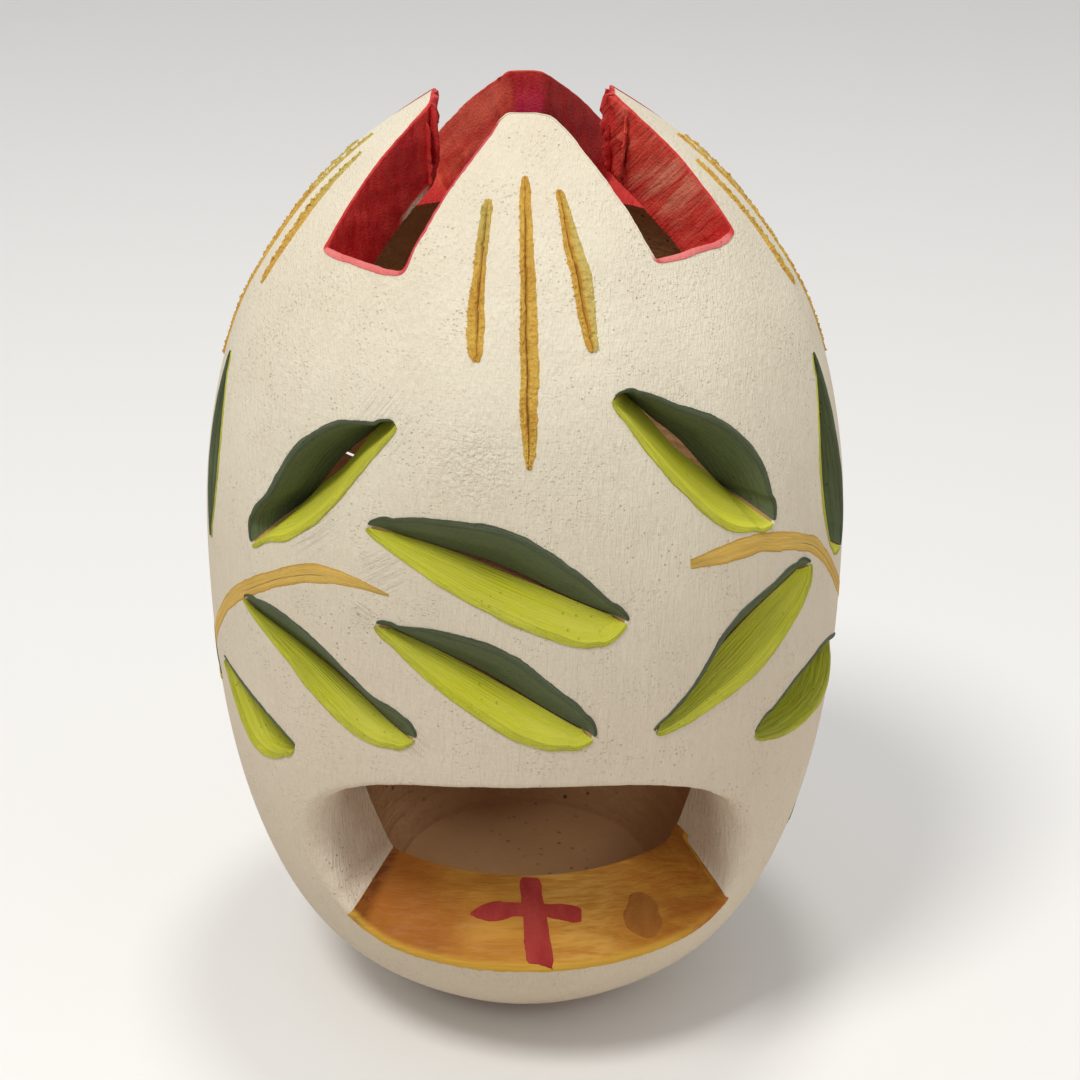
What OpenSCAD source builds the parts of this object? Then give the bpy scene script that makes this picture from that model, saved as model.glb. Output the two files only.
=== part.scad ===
// Hollow clay candle lantern in the shape of a closed flower bud, hand carved and painted.
// Units are millimetres, +Z is up, the window faces -Y and the origin is the centre of the foot.
// Places on the wall are given as [azimuth, height]: azimuth 0 is the front, 90 is +X.

/* [Body] */
// Height of the lantern over its petal tips
lantern_h = 148.5; // [140:0.5:156]
// Largest diameter of the body
body_d = 100; // [96:1:106]
// Height of the floor that the candle stands on
floor_h = 15; // [12:1:18]
// Thickness of the wall at the shoulder
wall_t = 9.5; // [8.5:0.5:10.5]
// Thickness of the white slip on the outside
slip_t = 0.4; // [0.3:0.1:0.6]
// Thickness of each paint coat on a cut face
coat_t = 0.5; // [0.4:0.1:0.7]

/* [Crown] */
// Height of the bottom of the notches between the petals
notch_z = 130.5; // [126:0.5:134]
// Width of the central opening between opposite petal tips
crown_w = [25.6, 25.8]; // [20:0.2:30]
// How far the hole stands off the axis
crown_off = [-0.6, 0.5]; // [-2:0.1:2]
// Downward slope of the notch bottoms towards the inside
notch_slope = 42; // [30:1:50]

/* [Veins] */
// Width of a carved vein at the surface
vein_w = 2.4; // [1.8:0.2:3.2]
// Depth of a carved vein
vein_d = 1.2; // [0.8:0.1:1.6]

/* [Window] */
// Height of the middle of the window
window_z = 40; // [38:0.5:42]
// Azimuth of the middle of the window
window_az = 1; // [-2:0.5:4]
// Half of the angle that the window spans
window_half_az = 44; // [40:1:47]
// Half of the window's height before the sill cuts it
window_half_h = 19.3; // [18:0.1:20]
// Height of the sill's outer edge
sill_outer_z = 23.4; // [22:0.2:26]
// Height of the sill's inner edge
sill_inner_z = 33; // [31:0.5:35]

/* [Hidden] */
$fn = 240;

white = "#efe9da";
clay = "#6e553c";
red = "#b2332d";
dark_green = "#3f5236";
lime = "#a9ad33";
ochre = "#c3933a";
amber = "#b3792a";

// ---- The thrown form: outside and inside as smooth curves through a few [height, radius] knots ----

r_max = body_d / 2;
// Radius of the outside at rising fractions of the height, as a share of the largest radius
outer_shape = [[0, 0.34], [0.034, 0.51], [0.1, 0.73], [0.2, 0.877], [0.335, 0.969], [0.5, 1],
               [0.64, 0.977], [0.775, 0.873], [0.875, 0.693], [0.942, 0.502], [1, 0.26]];
outer_knots = [for (k = outer_shape) [k[0] * lantern_h, k[1] * r_max]];
inside_top = lantern_h - 1.15 * wall_t;
// Radius of the inside at rising shares of its height: the wall is heavy at the foot and even above
inner_knots = [for (k = [[0, 21], [0.06, 26], [0.15, 31], [0.27, 35.5], [0.42, 39], [0.58, 40.5],
                         [0.68, 39.5], [0.8, 34.5], [0.9, 26.5], [1, 11.5]])
               [floor_h + k[0] * (inside_top - floor_h), k[1] * (r_max - wall_t) / 40.5]];
bands = 32;

function segment(knots, x, i = 0) =
    i >= len(knots) - 2 || x < knots[i + 1][0] ? i : segment(knots, x, i + 1);
function knot_slope(knots, i) =
    let (a = max(i - 1, 0), b = min(i + 1, len(knots) - 1))
    (knots[b][1] - knots[a][1]) / (knots[b][0] - knots[a][0]);
// Smooth curve through [x, y] knots
function curve(knots, x) =
    let (i = segment(knots, x), h = knots[i + 1][0] - knots[i][0], t = (x - knots[i][0]) / h)
    (2 * t ^ 3 - 3 * t ^ 2 + 1) * knots[i][1] + (t ^ 3 - 2 * t ^ 2 + t) * h * knot_slope(knots, i)
    + (3 * t ^ 2 - 2 * t ^ 3) * knots[i + 1][1] + (t ^ 3 - t ^ 2) * h * knot_slope(knots, i + 1);

function r_out(z) = curve(outer_knots, z);
function r_in(z) = curve(inner_knots, min(max(z, floor_h), inside_top));
// Heights that crowd towards both ends, where the form curves most
function spread(i, n) = let (u = i / n) (u + (1 - cos(180 * u)) / 2) / 2;
function outer_points(inset) =
    [for (i = [0 : bands]) let (z = lantern_h * spread(i, bands)) [r_out(z) - inset, z]];
inner_points =
    [for (i = [bands : -1 : 0]) let (z = floor_h + (inside_top - floor_h) * spread(i, bands)) [r_in(z), z]];

// Point on a surface of the given radius
function on_wall(r, az, z) = [r * sin(az), -r * cos(az), z];

// Flat end of n points that face each other in pairs, first with last, as a strip of triangles
function end_strip(n) =
    [for (i = [0 : ceil(n / 2) - 2])
     each concat([[i, i + 1, n - 1 - i]], i + 1 < n - 2 - i ? [[i + 1, n - 2 - i, n - 1 - i]] : [])];
// Solid between a row of rings that all have the same number of points
module loft(rings) {
    n = len(rings[0]);
    last = len(rings) - 1;
    side = [for (k = [0 : last - 1], j = [0 : n - 1])
            let (a = k * n + j, b = k * n + (j + 1) % n) each [[a, b, a + n], [b, b + n, a + n]]];
    start = [for (f = end_strip(n)) [f[2], f[1], f[0]]];
    end = [for (f = end_strip(n)) [for (i = f) last * n + i]];
    polyhedron([for (ring = rings) each ring], concat(start, side, end));
}

// ---- Leaves: slots with two sloping faces, cut from the outside to a narrow slit ----

// Along a leaf, where the widths below are given
leaf_ts = [0, 0.08, 0.25, 0.5, 0.75, 0.92, 1];
// [start, end, widths on the dark side, widths on the lime side, [slit offset, slit width, slit start, slit end]]
upper_left = [[-53.5, 89], [-23.5, 112.3], [3.8, 4.6, 7, 6.1, 2.5], [1, 3.2, 3.5, 2.2, 1], [3, 1.6, 0.12, 0.8]];
middle = [[-27, 98], [16.8, 85.3], [3.1, 6, 8, 5.7, 2.6], [1.3, 2.5, 4, 5.2, 4.6], [-1.6, 1.1, 0.08, 0.95]];
low_middle = [[-25, 83.8], [11.5, 67.5], [2.2, 5.2, 6.9, 5.1, 3.2], [1.6, 3.5, 4.9, 5.4, 3.2], [-2.6, 0.8, 0.08, 0.94]];
low_left = [[-56.5, 79.3], [-18.3, 66.5], [2.8, 5.1, 5.1, 3.1, 2.8], [0.6, 1, 3.6, 5.4, 4], [-4.4, 0.8, 0.1, 0.92]];
upper_right = [[16.3, 116.3], [46.8, 94.2], [3.3, 5.1, 7.3, 6.7, 3.4], [1.4, 2.8, 4.2, 4.8, 2.8], [2, 1.4, 0.2, 0.92]];
low_right = [[22, 67], [58, 84.5], [1.1, 3, 6.6, 5.7, 3.8], [2.1, 3.1, 4.6, 4.5, 3.6], [-3.6, 0.9, 0.1, 0.92]];
side_right_low = [[43.5, 61], [90, 58.5], [3.2, 6.5, 8, 5.2, 2], [2.3, 3.2, 3.4, 3, 1.6], [-0.5, 1.2, 0.1, 0.9]];
side_right_tall = [[72.5, 112.5], [76, 80.5], [1, 1.6, 2.4, 3, 2.6], [2.4, 6, 9, 8.8, 6], [-1, 1.6, 0.12, 0.86]];
side_left_low = [[-69, 64.2], [-44, 58.5], [0.8, 1.5, 1.8, 1.5, 0.8], [2, 5.2, 8, 6.6, 3.4], [-2.6, 1, 0.14, 0.86]];
side_left_tall = [[-74, 83], [-77.5, 111.5], [1, 2.2, 3, 2.4, 1.2], [1.8, 4, 4.6, 3.6, 1.6], [0, 1.4, 0.14, 0.86]];
side_right_back = [[74, 31.5], [112, 41], [1, 3, 5, 4.4, 2.6], [1, 2.6, 3.6, 3.4, 2], [-1, 1, 0.12, 0.9]];

front_leaves = [upper_left, middle, low_middle, low_left, upper_right, low_right];
right_leaves = [side_right_low, side_right_tall, side_right_back, turned(side_left_tall, 186)];
left_leaves = [side_left_low, side_left_tall, turned(side_right_low, -165), turned(side_right_tall, -186)];
back_leaves = [for (leaf = [upper_left, middle, low_middle, upper_right, low_right]) turned(leaf, 180)];
all_leaves = concat(front_leaves, right_leaves, back_leaves, left_leaves);
leaf_steps = 12;

function turned(leaf, az) = [leaf[0] + [az, 0], leaf[1] + [az, 0], leaf[2], leaf[3], leaf[4]];
function leaf_width(widths, t) =
    curve([for (i = [0 : len(leaf_ts) - 1]) [leaf_ts[i], i == 0 || i == len(leaf_ts) - 1 ? 0 : widths[i - 1]]], t);
// Place on the wall at share t of the leaf's length, moved sideways by d millimetres
function leaf_place(leaf, t, d) =
    let (mm = PI / 180 * r_out((leaf[0][1] + leaf[1][1]) / 2), run = leaf[1] - leaf[0],
         across = [-run[1], run[0] * mm] / norm([run[0] * mm, run[1]]))
    leaf[0] + t * run + d * [across[0] / mm, across[1]];
// Points down one side of the slot at share t: proud of the wall, on it, at the slit, and inside it
function slot_side(leaf, t, side, grow) =
    let (s = leaf[4], edge = leaf_width(side > 0 ? leaf[2] : leaf[3], t) + grow,
         slit = s[1] / 2 * sin(180 * t) + grow, rim = leaf_place(leaf, t, side * edge),
         keel = leaf_place(leaf, s[2] + t * (s[3] - s[2]), s[0] + side * slit),
         on_rim = on_wall(r_out(rim[1]), rim[0], rim[1]),
         on_keel = on_wall(r_in(keel[1]) + 0.5, keel[0], keel[1]))
    [on_rim + 0.12 * (on_rim - on_keel), on_rim, on_keel, on_wall(r_in(keel[1]) - 3, keel[0], keel[1])];
function slot_ring(leaf, t) =
    let (dark = slot_side(leaf, t, 1, coat_t), pale = slot_side(leaf, t, -1, coat_t))
    [dark[0], dark[2], dark[3], pale[3], pale[2], pale[0]];
function coat_ring(leaf, t, side) =
    let (bare = slot_side(leaf, t, side, coat_t), face = slot_side(leaf, t, side, 0))
    side > 0 ? [bare[1], bare[2], face[2], face[1]] : [bare[2], bare[1], face[1], face[2]];
function leaf_shares() = [for (i = [0 : leaf_steps]) spread(i, leaf_steps)];

module leaf_slots(leaves) {
    for (leaf = leaves) loft([for (t = leaf_shares()) slot_ring(leaf, t)]);
}

module leaf_coats(leaves, side) {
    for (leaf = leaves) loft([for (t = leaf_shares()) coat_ring(leaf, t, side)]);
}

// ---- Veins: three carved lines down each petal ----

// [azimuth from the middle of the petal at the top, at the bottom, top height, bottom height]
veins = [[-11.5, -9.3, 139.5, 121], [0, 0.7, 142, 107.7], [11, 13.5, 140.5, 122]];
vein_steps = 6;

function vein_ring(vein, turn, t, grow, proud) =
    let (z = vein[2] + t * (vein[3] - vein[2]), az = turn + vein[0] + t * (vein[1] - vein[0]), r = r_out(z),
         taper = 0.35 + 0.65 * min(1, 5 * (1 - t)), half = (vein_w / 2 * taper + grow) * 180 / (PI * r),
         deep = vein_d * taper + grow)
    [on_wall(r + proud, az + half * (1 + proud / deep), z), on_wall(r - deep, az, z),
     on_wall(r + proud, az - half * (1 + proud / deep), z)];

module vein_cuts() {
    for (turn = [0 : 90 : 270], vein = veins)
        loft([for (k = [0 : vein_steps]) vein_ring(vein, turn, k / vein_steps, coat_t, 0.6)]);
}

module vein_coats(turn) {
    for (vein = veins)
        loft([for (k = [0 : vein_steps])
              let (bare = vein_ring(vein, turn, k / vein_steps, coat_t, 0),
                   face = vein_ring(vein, turn, k / vein_steps, 0, 0))
              [bare[0], bare[1], bare[2], face[2], face[1], face[0]]]);
}

// ---- Stems: brush strokes let into the slip ----

// [azimuth, height] knots of each stroke's middle line, from its pointed tip
left_stroke = [[22.5, 88.6], [30, 89.5], [38, 88.8], [45, 86.3], [60, 78.5], [74, 67.5], [84, 59]];
right_stroke = [[28, 92.3], [36, 92.4], [44, 91.9], [52, 89.8], [60, 86.4], [74, 75.5], [88, 67]];
stroke_w = 3.2;
stroke_steps = 11;

function stroke_ring(knots, hand, turn, t) =
    let (az = knots[0][0] + t * (knots[6][0] - knots[0][0]), z = curve(knots, az),
         half = stroke_w / 2 * min(1, 0.12 + 4 * t, 0.3 + 5 * (1 - t)), place = turn + hand * az)
    hand > 0
    ? [on_wall(r_max + 8, place, z + half), on_wall(r_max - 20, place, z + half),
       on_wall(r_max - 20, place, z - half), on_wall(r_max + 8, place, z - half)]
    : [on_wall(r_max + 8, place, z - half), on_wall(r_max - 20, place, z - half),
       on_wall(r_max - 20, place, z + half), on_wall(r_max + 8, place, z + half)];

module stroke(knots, hand, turn) {
    loft([for (k = [0 : stroke_steps]) stroke_ring(knots, hand, turn, k / stroke_steps)]);
}

module all_strokes() {
    for (turn = [0, 180]) {
        stroke(left_stroke, -1, turn);
        stroke(right_stroke, 1, turn);
    }
}

// ---- Crown: four notches and a square hole leave four petals ----

// [azimuth, half width near the axis, half width at the shoulder]
notches = [[-43, 6.9, 7.9], [48.5, 7.2, 9], [137, 7.3, 8.8], [-138, 7.3, 8.4]];
notch_near = 12.5;
notch_far = 33;

module crown_plan(grow) {
    union() {
        translate(crown_off) square([crown_w[0] + 2 * grow, crown_w[1] + 2 * grow], center = true);
        for (n = notches) {
            flare = (n[2] - n[1]) / (notch_far - notch_near);
            near = n[1] - 8 * flare + grow;
            far = n[2] + 20 * flare + grow;
            rotate(n[0]) polygon([[-near, 8 - notch_near], [near, 8 - notch_near],
                                  [far, -notch_far - 20], [-far, -notch_far - 20]]);
        }
    }
}

module crown_cut(grow) {
    r_notch = r_out(notch_z);
    fall = tan(notch_slope);
    intersection() {
        translate([0, 0, notch_z - r_notch * fall]) linear_extrude(lantern_h) crown_plan(grow);
        rotate_extrude() polygon([[0, notch_z - r_notch * fall - grow], [80, notch_z + (80 - r_notch) * fall - grow],
                                  [80, lantern_h + 40], [0, lantern_h + 40]]);
    }
}

// ---- Window: a wide rounded opening cut straight towards the axis, over a sloping sill ----

window_n = 40;
window_power_top = 2.4;
window_power_low = 3.6;
sill_outer_r = r_out(sill_outer_z);
sill_inner_r = r_in(sill_inner_z);

function signed_root(v, power) = sign(v) * abs(v) ^ (2 / power);
function window_ring(r, grow) =
    [for (i = [0 : window_n - 1])
     let (a = -360 * i / window_n, extra = grow * 180 / (PI * 42),
          power = sin(a) < 0 ? window_power_low : window_power_top)
     on_wall(r, window_az + (window_half_az + extra) * signed_root(cos(a), power),
             window_z + (window_half_h + grow) * signed_root(sin(a), power))];

module window_hole(grow) {
    loft([window_ring(14, grow), window_ring(1.6 * r_max, grow)]);
}

// Ring under or on the sill's sloping face, between two depths below it
module sill_band(low, high) {
    rotate_extrude() polygon([[sill_inner_r, sill_inner_z - low], [sill_outer_r, sill_outer_z - low],
                              [sill_outer_r, sill_outer_z - high], [sill_inner_r, sill_inner_z - high]]);
}

// Everything below the sill's face lowered by drop
module below_sill(drop) {
    slope = (sill_inner_z - sill_outer_z) / (sill_outer_r - sill_inner_r);
    rotate_extrude() polygon([[0, 0], [70, 0], [70, sill_outer_z - drop - slope * (70 - sill_outer_r)],
                              [sill_inner_r, sill_inner_z - drop], [0, sill_inner_z - drop]]);
}

module window_cut(grow) {
    difference() {
        window_hole(grow);
        below_sill(coat_t);
    }
}

module cuts() {
    crown_cut(coat_t);
    window_cut(slip_t);
    leaf_slots(all_leaves);
    vein_cuts();
}

// ---- Sub-parts ----

module clay_body() {
    color(clay) difference() {
        rotate_extrude() polygon(concat([[0, 0]], outer_points(slip_t), inner_points, [[0, floor_h]]));
        cuts();
    }
}

module skin() {
    rotate_extrude() polygon(concat(outer_points(0), [for (i = [bands : -1 : 0]) outer_points(slip_t)[i]]));
}

module white_slip() {
    color(white) difference() {
        skin();
        cuts();
        all_strokes();
        translate([0, 0, -1]) cylinder(h = 2.2, r = r_max);
    }
}

module window_slip() {
    color(white) difference() {
        intersection() {
            window_hole(slip_t);
            rotate_extrude() polygon(concat(outer_points(0), inner_points));
        }
        window_hole(0);
        below_sill(0);
    }
}

module crown_red_paint() {
    color(red) intersection() {
        difference() {
            crown_cut(coat_t);
            crown_cut(0);
        }
        rotate_extrude() polygon(concat(outer_points(0), inner_points));
    }
}

module front_leaves_dark() { color(dark_green) leaf_coats(front_leaves, 1); }
module front_leaves_lime() { color(lime) leaf_coats(front_leaves, -1); }
module right_leaves_dark() { color(dark_green) leaf_coats(right_leaves, 1); }
module right_leaves_lime() { color(lime) leaf_coats(right_leaves, -1); }
module back_leaves_dark() { color(dark_green) leaf_coats(back_leaves, 1); }
module back_leaves_lime() { color(lime) leaf_coats(back_leaves, -1); }
module left_leaves_dark() { color(dark_green) leaf_coats(left_leaves, 1); }
module left_leaves_lime() { color(lime) leaf_coats(left_leaves, -1); }

module front_vein_paint() { color(ochre) vein_coats(0); }
module right_vein_paint() { color(ochre) vein_coats(90); }
module back_vein_paint() { color(ochre) vein_coats(180); }
module left_vein_paint() { color(ochre) vein_coats(270); }

module stem(knots, hand, turn) {
    color(ochre) intersection() {
        skin();
        stroke(knots, hand, turn);
    }
}

module front_left_stem() { stem(left_stroke, -1, 0); }
module front_right_stem() { stem(right_stroke, 1, 0); }
module back_left_stem() { stem(right_stroke, 1, 180); }
module back_right_stem() { stem(left_stroke, -1, 180); }

module sill_paint() {
    color(amber) intersection() {
        sill_band(coat_t, 0);
        window_hole(0);
    }
}

cross_w = 3.7;
cross_arm = 17;
cross_az = 3;
daub_d = 7;

module on_sill() {
    intersection() {
        sill_band(0, -0.3);
        linear_extrude(sill_inner_z + 2) children();
    }
}

module sill_cross() {
    color(red) on_sill() rotate(cross_az) {
        translate([-cross_w / 2, -r_max]) square([cross_w, r_max]);
        translate([-cross_arm / 2, -35.5]) square([cross_arm, cross_w]);
    }
}

module sill_daub() {
    color("#8f6420") on_sill() translate([18.5, -30]) circle(d = daub_d);
}

clay_body();
white_slip();
window_slip();
crown_red_paint();
front_leaves_dark();
front_leaves_lime();
right_leaves_dark();
right_leaves_lime();
back_leaves_dark();
back_leaves_lime();
left_leaves_dark();
left_leaves_lime();
front_vein_paint();
right_vein_paint();
back_vein_paint();
left_vein_paint();
front_left_stem();
front_right_stem();
back_left_stem();
back_right_stem();
sill_paint();
sill_cross();
sill_daub();
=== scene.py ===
import math
import bpy
import numpy as np
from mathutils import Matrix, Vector, noise


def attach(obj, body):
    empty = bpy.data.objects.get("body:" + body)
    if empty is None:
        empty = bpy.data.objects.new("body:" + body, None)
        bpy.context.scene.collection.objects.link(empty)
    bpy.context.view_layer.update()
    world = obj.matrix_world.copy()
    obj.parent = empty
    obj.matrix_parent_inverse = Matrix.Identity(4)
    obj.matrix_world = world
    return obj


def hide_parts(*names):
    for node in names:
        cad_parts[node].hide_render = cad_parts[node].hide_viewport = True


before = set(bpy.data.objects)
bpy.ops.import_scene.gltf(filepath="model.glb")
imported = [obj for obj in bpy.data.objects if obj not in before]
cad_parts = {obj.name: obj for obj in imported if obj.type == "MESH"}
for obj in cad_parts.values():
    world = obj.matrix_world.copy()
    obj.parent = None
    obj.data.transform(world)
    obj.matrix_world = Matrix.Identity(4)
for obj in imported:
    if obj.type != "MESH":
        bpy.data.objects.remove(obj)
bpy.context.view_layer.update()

# The table the lantern stands on, the plain light of a studio, and the camera.
# The camera looks down at about 25 degrees, straight at the window.
DISTANCE = 0.3801
TILT = math.radians(24.79)
bpy.context.scene.view_settings.view_transform = "Standard"
camera_data = bpy.data.cameras.new("camera")
camera_data.sensor_width = 36
camera_data.lens = 79.7
camera_data.shift_x = 0.0139
camera = bpy.data.objects.new("camera", camera_data)
bpy.context.scene.collection.objects.link(camera)
look_at = Vector((0, 0, 0.076))
camera.location = look_at + DISTANCE * Vector((0, -math.cos(TILT), math.sin(TILT)))
camera.rotation_euler = (look_at - camera.location).to_track_quat("-Z", "Y").to_euler()
bpy.context.scene.camera = camera


def area_lamp(name, place, size, power, colour):
    lamp = bpy.data.lights.new(name, "AREA")
    lamp.shape = "DISK"
    lamp.size = size
    lamp.energy = power
    lamp.color = colour
    holder = bpy.data.objects.new(name, lamp)
    bpy.context.scene.collection.objects.link(holder)
    holder.location = place
    holder.rotation_euler = (look_at - Vector(place)).to_track_quat("-Z", "Y").to_euler()


area_lamp("key", (-0.34, -0.42, 1.00), 0.30, 5.6, (1.0, 0.97, 0.91))
area_lamp("overhead", (0.05, 0.05, 0.95), 0.16, 1.8, (1.0, 0.97, 0.92))
area_lamp("side_fill", (0.80, -0.35, 0.25), 0.70, 0.9, (1.0, 0.95, 0.90))

DAYLIGHT = 0.42
world = bpy.data.worlds.new("studio")
world.use_nodes = True
bpy.context.scene.world = world
sky = world.node_tree.nodes["Background"]
sky.inputs["Color"].default_value = (1, 1, 1, 1)
sky.inputs["Strength"].default_value = DAYLIGHT
world_paths = world.node_tree.nodes.new("ShaderNodeLightPath")
seen = world.node_tree.nodes.new("ShaderNodeMath")
seen.operation = "MAXIMUM"
world.node_tree.links.new(world_paths.outputs["Is Camera Ray"], seen.inputs[0])
world.node_tree.links.new(world_paths.outputs["Is Glossy Ray"], seen.inputs[1])
to_white = world.node_tree.nodes.new("ShaderNodeMapRange")
to_white.inputs["To Min"].default_value = DAYLIGHT
to_white.inputs["To Max"].default_value = 1.0
world.node_tree.links.new(seen.outputs[0], to_white.inputs["Value"])
world.node_tree.links.new(to_white.outputs["Result"], sky.inputs["Strength"])

bpy.ops.object.select_all(action="DESELECT")
bpy.ops.mesh.primitive_plane_add(size=6, location=(0, 0, -0.0002))
floor = bpy.context.object
floor.name = "table_top"
floor_paint = bpy.data.materials.new("pale_table")
floor_paint.use_nodes = True
floor_shader = floor_paint.node_tree.nodes["Principled BSDF"]
floor_shader.inputs["Roughness"].default_value = 0.9
floor_paths = floor_paint.node_tree.nodes.new("ShaderNodeLightPath")
floor_tone = floor_paint.node_tree.nodes.new("ShaderNodeMix")
floor_tone.data_type = "RGBA"
floor_tone.inputs[6].default_value = (0.64, 0.60, 0.55, 1)
floor_tone.inputs[7].default_value = (0.93, 0.93, 0.93, 1)
floor_paint.node_tree.links.new(floor_paths.outputs["Is Camera Ray"], floor_tone.inputs[0])
floor_paint.node_tree.links.new(floor_tone.outputs[2], floor_shader.inputs["Base Color"])
floor.data.materials.append(floor_paint)

# The thrown form: a clay pot raised on the wheel and closed in to a bud, in millimetres.
# Its outside and inside are smooth curves through knots, as shares of the height. The white skin stays SPARE
# inside the outside, and the paint on top takes that up.
MM = 0.001
HEIGHT = 148.5
WIDEST = 50.0
WALL = 9.5
FLOOR = 15.0
SPARE = 0.12
OUTSIDE = [[0, 0.34], [0.034, 0.51], [0.1, 0.73], [0.2, 0.877], [0.335, 0.969], [0.5, 1],
           [0.64, 0.977], [0.775, 0.873], [0.875, 0.693], [0.942, 0.502], [1, 0.26]]
OUTSIDE = [[a * HEIGHT, b * WIDEST] for a, b in OUTSIDE]
INSIDE_TOP = HEIGHT - 1.15 * WALL
INSIDE = [[0, 21], [0.06, 26], [0.15, 31], [0.27, 35.5], [0.42, 39], [0.58, 40.5],
          [0.68, 39.5], [0.8, 34.5], [0.9, 26.5], [1, 11.5]]
INSIDE = [[FLOOR + a * (INSIDE_TOP - FLOOR), b] for a, b in INSIDE]


def curve(knots, x):
    """Smooth curve through [x, y] knots."""
    last = len(knots) - 2
    i = 0
    while i < last and x >= knots[i + 1][0]:
        i += 1

    def slope(j):
        a, b = max(j - 1, 0), min(j + 1, len(knots) - 1)
        return (knots[b][1] - knots[a][1]) / (knots[b][0] - knots[a][0])

    h = knots[i + 1][0] - knots[i][0]
    t = (x - knots[i][0]) / h
    return ((2 * t ** 3 - 3 * t ** 2 + 1) * knots[i][1] + (t ** 3 - 2 * t ** 2 + t) * h * slope(i)
            + (3 * t ** 2 - 2 * t ** 3) * knots[i + 1][1] + (t ** 3 - t ** 2) * h * slope(i + 1))


def r_out(z):
    return curve(OUTSIDE, z) - SPARE


def r_in(z):
    return curve(INSIDE, min(max(z, FLOOR), INSIDE_TOP))


def on_wall(r, azimuth, z):
    """The point at a radius, a height and an azimuth, which is 0 at the window and grows to the right."""
    a = math.radians(azimuth)
    return np.array([r * math.sin(a), -r * math.cos(a), z])


def unit(v):
    return v / np.linalg.norm(v)


def wall_normal(p):
    """Direction straight out of the outside at a point on it."""
    below, above = p[2] - 0.2, min(p[2] + 0.2, HEIGHT)
    slope = (r_out(above) - r_out(below)) / (above - below)
    flat = math.hypot(p[0], p[1])
    return unit(np.array([p[0] / flat, p[1] / flat, -slope]))


# The carver's leaf slots. Each is a V cut into the leather-hard wall, with two sloping faces of different
# width that meet at a narrow slit. Each row is the leaf's start and end as [azimuth, height], the widths of
# its dark and of its lime face, and its slit: how far aside, how wide, the shares of the leaf at which it
# starts and ends, and how deep the faces meet. Without a depth they meet in the hollow.
SHARES = [0, 0.08, 0.25, 0.5, 0.75, 0.92, 1]
upper_left = [[-53.5, 89], [-23.5, 112.3], [3.8, 4.6, 7, 6.1, 2.5], [1, 3.2, 3.5, 2.2, 1],
              [3, 1.4, 0.12, 0.8]]
middle = [[-27, 98], [16.8, 85.3], [3.1, 6, 8, 5.7, 2.6], [1.3, 2.4, 3.8, 5, 4.6],
          [-0.1, 0.75, 0.08, 0.95, 6.5]]
low_middle = [[-25, 83.8], [11.5, 67.5], [2.2, 5.2, 6.9, 5.1, 3.2], [1.3, 2.8, 4.1, 5, 3.4],
              [0, 0.3, 0.06, 0.95, 4.8]]
low_left = [[-56.5, 79.3], [-18.3, 66.5], [2.8, 5.1, 5.1, 3.1, 2.8], [0.7, 1, 3.1, 5, 3.8],
            [-1.4, 0.3, 0.06, 0.95, 4.8]]
upper_right = [[16.3, 116.3], [46.8, 94.2], [3.3, 5.1, 7.3, 6.7, 3.4], [1.4, 2.8, 4.2, 4.8, 2.8],
               [2, 1.4, 0.2, 0.92]]
low_right = [[22, 67], [58, 84.5], [1.1, 3, 6.6, 5.7, 3.8], [2.1, 3.1, 4.6, 4.5, 3.6],
             [0.1, 0.3, 0.06, 0.95, 4.8]]
side_right_low = [[43.5, 61], [90, 58.5], [3.2, 6.5, 8, 5.2, 2], [2.3, 3.2, 3.4, 3, 1.6],
                  [-0.5, 1.2, 0.1, 0.9]]
side_right_tall = [[72.5, 112.5], [76, 80.5], [1, 1.6, 2.4, 3, 2.6], [2.4, 6, 9, 8.8, 6],
                   [-1, 1.6, 0.12, 0.86]]
side_left_low = [[-69, 64.2], [-44, 58.5], [0.8, 1.5, 1.8, 1.5, 0.8], [2, 5.2, 8, 6.6, 3.4],
                 [-2.6, 1, 0.14, 0.86]]
side_left_tall = [[-74, 83], [-77.5, 111.5], [1, 2.2, 3, 2.4, 1.2], [1.8, 4, 4.6, 3.6, 1.6],
                  [0, 1.4, 0.14, 0.86]]
side_right_back = [[74, 31.5], [112, 41], [1, 3, 5, 4.4, 2.6], [1, 2.6, 3.6, 3.4, 2], [-1, 1, 0.12, 0.9]]


def moved_round(leaf, azimuth):
    (a0, z0), (a1, z1) = leaf[:2]
    return [[a0 + azimuth, z0], [a1 + azimuth, z1], *leaf[2:]]


LEAVES = {
    "front": [upper_left, middle, low_middle, low_left, upper_right, low_right],
    "right": [side_right_low, side_right_tall, side_right_back, moved_round(side_left_tall, 186)],
    "back": [moved_round(leaf, 180) for leaf in (upper_left, middle, low_middle, upper_right, low_right)],
    "left": [side_left_low, side_left_tall, moved_round(side_right_low, -165),
             moved_round(side_right_tall, -186)],
}


def leaf_width(widths, t):
    """Width of one face at share t, with a round end at both tips."""
    end = min(t, 1 - t) / SHARES[1]
    if end < 1:
        return (widths[0] if t < 0.5 else widths[-1]) * (1 - (1 - end) ** 2) ** 0.55
    return max(curve([[s, w] for s, w in zip(SHARES, [0, *widths, 0])], t), 0.0)


def leaf_place(leaf, t, aside):
    """Azimuth and height at share t of the leaf's length, moved sideways by aside millimetres."""
    (a0, z0), (a1, z1) = leaf[:2]
    mm = math.pi / 180 * r_out((z0 + z1) / 2)
    length = math.hypot((a1 - a0) * mm, z1 - z0)
    return (a0 + t * (a1 - a0) - aside * (z1 - z0) / length / mm,
            z0 + t * (z1 - z0) + aside * (a1 - a0) * mm / length)


def leaf_rim(leaf, t, aside):
    azimuth, z = leaf_place(leaf, t, aside)
    return on_wall(r_out(z), azimuth, z)


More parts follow.
